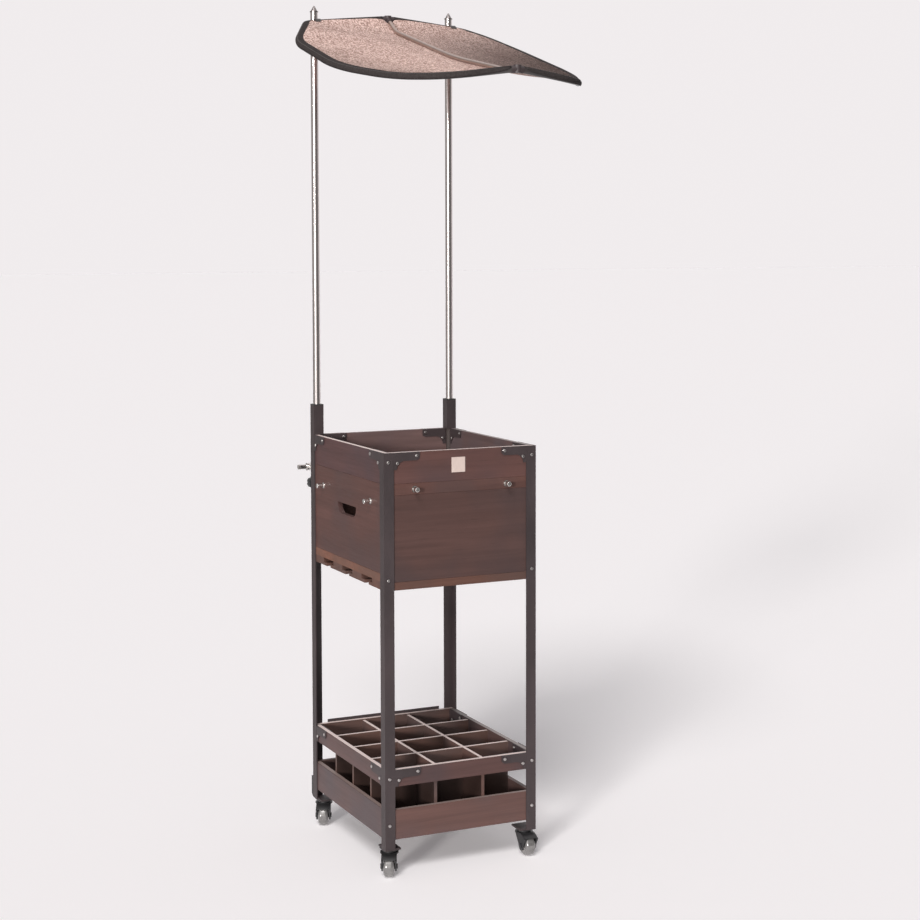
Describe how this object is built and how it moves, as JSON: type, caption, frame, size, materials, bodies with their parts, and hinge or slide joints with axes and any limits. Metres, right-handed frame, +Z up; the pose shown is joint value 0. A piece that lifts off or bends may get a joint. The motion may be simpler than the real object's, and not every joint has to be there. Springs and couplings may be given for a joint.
{
  "type": "bar cart with canopy",
  "caption": "Wheeled bar cart: open wooden box over a bottle rack in angle-iron posts, with stemware rails and a tilting canopy on two poles.",
  "frame": {"origin": "on the floor under the middle of the object's bounding box", "axes": "+Z up, the front faces -Y, +X is to the right of a viewer who faces the front"},
  "size_m": [0.6178, 0.847, 2.091],
  "materials": {
    "dark_wood": "stained, satin",
    "black_steel": "black powder coat",
    "black_plastic": "matte",
    "black_rubber": "matte",
    "grey_wheel": "gloss",
    "chrome": "polished",
    "stainless": "satin",
    "grey_frame": "dark grey",
    "ivory_plate": "satin, blank",
    "bronze_fabric": "woven"
  },
  "bodies": {
    "base": {"box_floor": "dark_wood", "bumpers": "black_rubber", "caster_plates": "black_steel", "corner_plates": "black_steel", "divider_cross_front": "dark_wood", "divider_cross_middle": "dark_wood", "divider_cross_rear": "dark_wood", "divider_long_left": "dark_wood", "divider_long_right": "dark_wood", "frame_bolts": "chrome", "handle_bar": "chrome", "handle_standoffs": "chrome", "hook_pegs": "chrome", "label_plate": "ivory_plate", "panel_front": "dark_wood", "panel_left": "dark_wood", "panel_rear": "dark_wood", "panel_right": "dark_wood", "peg_rail_front": "dark_wood", "plank_front": "dark_wood", "plank_left": "dark_wood", "plank_rear": "dark_wood", "plank_right": "dark_wood", "post_front_left": "black_steel", "post_front_right": "black_steel", "post_rear_left": "black_steel", "post_rear_right": "black_steel", "rack_rail_front": "dark_wood", "rack_rail_left": "dark_wood", "rack_rail_rear": "dark_wood", "rack_rail_right": "dark_wood", "rack_strap": "black_steel", "socket_bushes": "black_plastic", "stemware_rails": "dark_wood", "tray_floor": "dark_wood", "tray_front": "dark_wood", "tray_left": "dark_wood", "tray_rear": "dark_wood", "tray_right": "dark_wood"},
    "mast": {"canopy_clamps": "chrome", "pole_finials": "chrome", "pole_left": "stainless", "pole_right": "stainless"},
    "canopy": {"canopy_fabric": "bronze_fabric", "canopy_rib": "chrome", "hoop_fittings": "grey_frame", "hoop_left": "grey_frame", "hoop_right": "grey_frame"},
    "caster_front_left": {"caster_fork_front_left": "black_steel"},
    "caster_front_right": {"caster_fork_front_right": "black_steel"},
    "caster_rear_left": {"caster_fork_rear_left": "black_steel"},
    "caster_rear_right": {"caster_fork_rear_right": "black_steel"},
    "wheel_front_left": {"caster_wheel_front_left": "grey_wheel"},
    "wheel_front_right": {"caster_wheel_front_right": "grey_wheel"},
    "wheel_rear_left": {"caster_wheel_rear_left": "grey_wheel"},
    "wheel_rear_right": {"caster_wheel_rear_right": "grey_wheel"},
    "knob_left": {"clamp_knob_left": "black_plastic"},
    "knob_right": {"clamp_knob_right": "black_plastic"}
  },
  "joints": [
    {"name": "swivel_front_left", "type": "hinge", "parent": "base", "child": "caster_front_left", "pos_m": [-0.179, -0.0925, 0.054], "axis": [0, 0, 1], "continuous": true},
    {"name": "spin_front_left", "type": "hinge", "parent": "caster_front_left", "child": "wheel_front_left", "pos_m": [-0.18745, -0.11063, 0.025], "axis": [0.9063, -0.4226, 0], "continuous": true},
    {"name": "swivel_front_right", "type": "hinge", "parent": "base", "child": "caster_front_right", "pos_m": [0.179, -0.0925, 0.054], "axis": [0, 0, 1], "continuous": true},
    {"name": "spin_front_right", "type": "hinge", "parent": "caster_front_right", "child": "wheel_front_right", "pos_m": [0.1783, -0.11249, 0.025], "axis": [0.9994, -0.0349, 0], "continuous": true},
    {"name": "swivel_rear_left", "type": "hinge", "parent": "base", "child": "caster_rear_left", "pos_m": [-0.179, 0.3435, 0.054], "axis": [0, 0, 1], "continuous": true},
    {"name": "spin_rear_left", "type": "hinge", "parent": "caster_rear_left", "child": "wheel_rear_left", "pos_m": [-0.18745, 0.32537, 0.025], "axis": [0.9063, -0.4226, 0], "continuous": true},
    {"name": "swivel_rear_right", "type": "hinge", "parent": "base", "child": "caster_rear_right", "pos_m": [0.179, 0.3435, 0.054], "axis": [0, 0, 1], "continuous": true},
    {"name": "spin_rear_right", "type": "hinge", "parent": "caster_rear_right", "child": "wheel_rear_right", "pos_m": [0.17282, 0.32448, 0.025], "axis": [0.9511, -0.309, 0], "continuous": true},
    {"name": "knob_turn_left", "type": "hinge", "parent": "base", "child": "knob_left", "pos_m": [-0.186, 0.3755, 0.88], "axis": [0, 1, 0], "continuous": true},
    {"name": "knob_turn_right", "type": "hinge", "parent": "base", "child": "knob_right", "pos_m": [0.186, 0.3755, 0.88], "axis": [0, 1, 0], "continuous": true},
    {"name": "mast_lift", "type": "slide", "parent": "base", "child": "mast", "axis": [0, 0, 1], "range_m": [0, 0.12]},
    {"name": "canopy_tilt", "type": "hinge", "parent": "mast", "child": "canopy", "pos_m": [0, 0.3325, 2.0457], "axis": [1, 0, 0], "range_deg": [-15, 25]}
  ]
}
